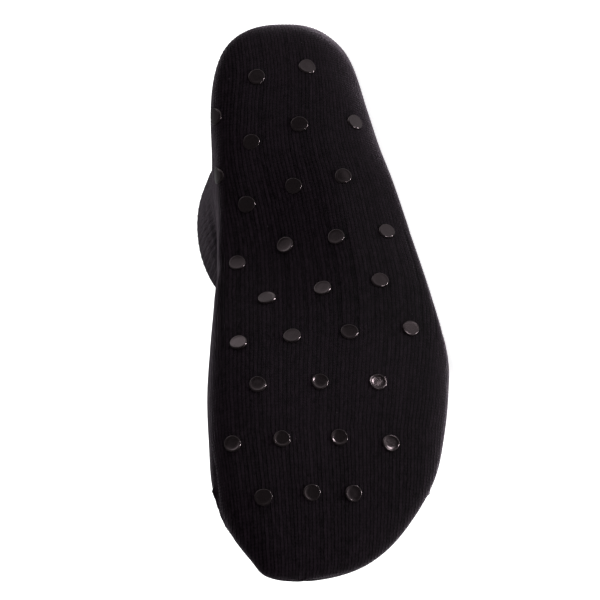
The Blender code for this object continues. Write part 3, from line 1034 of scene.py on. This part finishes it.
def build_camera():
    """Camera at the photo's angle to the sole, with the toes at the bottom of the picture."""
    toward = np.array((
        math.sin(VIEW_TO_TOES) * math.cos(VIEW_TO_INNER),
        math.sin(VIEW_TO_INNER),
        -math.cos(VIEW_TO_TOES) * math.cos(VIEW_TO_INNER),
    ))
    toes = np.array((1.0, 0.0, 0.0))
    down = toes - toward * (toes @ toward)
    down = down / np.linalg.norm(down)
    right = np.cross(-down, toward)
    image_down = math.cos(VIEW_ROLL) * down - math.sin(VIEW_ROLL) * right
    image_right = math.cos(VIEW_ROLL) * right + math.sin(VIEW_ROLL) * down
    axes = POSE[:3, :3] @ np.column_stack((image_right, -image_down, toward))
    place = to_part(np.array(VIEW_AIM) + toward * VIEW_DISTANCE)
    data = bpy.data.cameras.new("photo_view")
    data.sensor_width = SENSOR
    data.lens = SENSOR * VIEW_DISTANCE / VIEW_WIDTH
    data.clip_start, data.clip_end = VIEW_CLIP
    camera = bpy.data.objects.new("photo_view", data)
    bpy.context.scene.collection.objects.link(camera)
    camera.matrix_world = Matrix.Translation(place) @ Matrix(axes.tolist()).to_4x4()
    bpy.context.scene.camera = camera


def square(half):
    """Corners of a level square round the origin."""
    return [(x, y, 0.0) for x, y in ((-half, -half), (half, -half), (half, half), (-half, half))]


def build_floor():
    """A plain pale floor that glows, so that it stays white under the sock."""
    graph = Graph("pale_floor")
    grain = graph.noise(graph.coordinates(), FLOOR_GRAIN)
    graph.set({
        "Base Color": graph.mix(grain, FLOOR_DARK, FLOOR_LIGHT),
        "Roughness": 0.9,
        "Specular IOR Level": 0.1,
        "Emission Color": WHITE,
        "Emission Strength": FLOOR_GLOW,
    })
    mesh = bpy.data.meshes.new("floor")
    mesh.from_pydata(square(FLOOR_HALF), [], [(0, 1, 2, 3)])
    mesh.materials.append(graph.material)
    floor = bpy.data.objects.new("floor", mesh)
    bpy.context.scene.collection.objects.link(floor)
    floor.visible_glossy = False
    floor.visible_shadow = False


def add_mirrored(name, corners, faces, glow):
    """A glowing screen that is seen only as a mirror image in the dots and the knit's faint gloss."""
    graph = Graph(name)
    graph.set({
        "Base Color": BLACK,
        "Specular IOR Level": 0.0,
        "Emission Color": WHITE,
        "Emission Strength": graph.values("glow"),
    })
    mesh = bpy.data.meshes.new(name)
    mesh.from_pydata(np.asarray(corners).tolist(), [], faces)
    mesh.materials.append(graph.material)
    screen = bpy.data.objects.new(name, mesh)
    bpy.context.scene.collection.objects.link(screen)
    add_values(screen, "glow", np.asarray(glow))
    screen.visible_camera = False
    screen.visible_diffuse = False
    screen.visible_shadow = False


def room_glow(angle, height):
    """Brightness of the room in a direction: dark before the sole, light to the heel and the floor."""
    to_heel = ease((angle - ROOM_TO_HEEL[0]) / (ROOM_TO_HEEL[1] - ROOM_TO_HEEL[0]))
    to_floor = ease((-height - ROOM_TO_FLOOR[0]) / (ROOM_TO_FLOOR[1] - ROOM_TO_FLOOR[0]))
    return ROOM_DARK + ROOM_LIGHT * (1 - (1 - to_heel) * (1 - to_floor))


def build_room():
    """A round wall before the sole."""
    corners, glow = [], []
    for height in ROOM_UPWARD:
        rise = math.radians(height)
        for angle in ROOM_AROUND:
            turn = math.radians(angle)
            level = (math.cos(rise) * math.sin(turn), -math.cos(rise) * math.cos(turn))
            corners.append((*level, math.sin(rise)))
            glow.append(room_glow(angle, height))
    faces = []
    for row in range(len(ROOM_UPWARD) - 1):
        for column in range(len(ROOM_AROUND) - 1):
            near = row * len(ROOM_AROUND) + column
            far = near + len(ROOM_AROUND)
            faces.append((near, near + 1, far + 1, far))
    add_mirrored("room", ROOM_RADIUS * np.array(corners), faces, glow)


def build_cards():
    """The bright cards, each turned to the sole."""
    for card in CARDS:
        place = Vector(card.place)
        turned = (Vector(CARDS_FACE) - place).to_track_quat("Z", "Y")
        corners = [place + turned @ Vector(corner) for corner in square(card.size / 2)]
        add_mirrored(card.name, corners, [(0, 1, 2, 3)], [card.glow] * len(corners))


def add_light(row):
    """A square lamp that faces the sock. It lights the knit and is not mirrored, unless its row says so."""
    data = bpy.data.lights.new(row.name, "AREA")
    data.size = row.size
    data.energy = row.power
    light = bpy.data.objects.new(row.name, data)
    bpy.context.scene.collection.objects.link(light)
    light.location = row.place
    light.rotation_mode = "QUATERNION"
    light.rotation_quaternion = (Vector(LIGHTS_FACE) - Vector(row.place)).to_track_quat("-Z", "Y")
    light.visible_camera = False
    light.visible_glossy = row.mirrored


def build_lights():
    """An even pale world and the lamps, shown in plain colours."""
    world = bpy.data.worlds.new("studio")
    world.use_nodes = True
    background = world.node_tree.nodes["Background"]
    background.inputs["Color"].default_value = WHITE
    background.inputs["Strength"].default_value = WORLD_GLOW
    bpy.context.scene.world = world
    for light in LIGHTS:
        add_light(light)
    bpy.context.scene.view_settings.view_transform = "Standard"


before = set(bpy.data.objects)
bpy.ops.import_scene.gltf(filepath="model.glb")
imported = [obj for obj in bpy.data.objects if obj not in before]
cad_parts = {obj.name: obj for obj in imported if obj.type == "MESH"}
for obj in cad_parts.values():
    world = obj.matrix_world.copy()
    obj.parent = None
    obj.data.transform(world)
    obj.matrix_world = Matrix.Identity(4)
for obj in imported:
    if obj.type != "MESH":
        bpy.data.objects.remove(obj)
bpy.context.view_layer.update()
build_camera()
build_floor()
build_room()
build_cards()
build_lights()

sock = build_sock(knit_material(), lining_material())
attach(sock, "root")
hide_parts("knit_sock")

dots = build_dots(grip_material())
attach(dots, "root")
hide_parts(*[name for name, *_ in dot_places()])
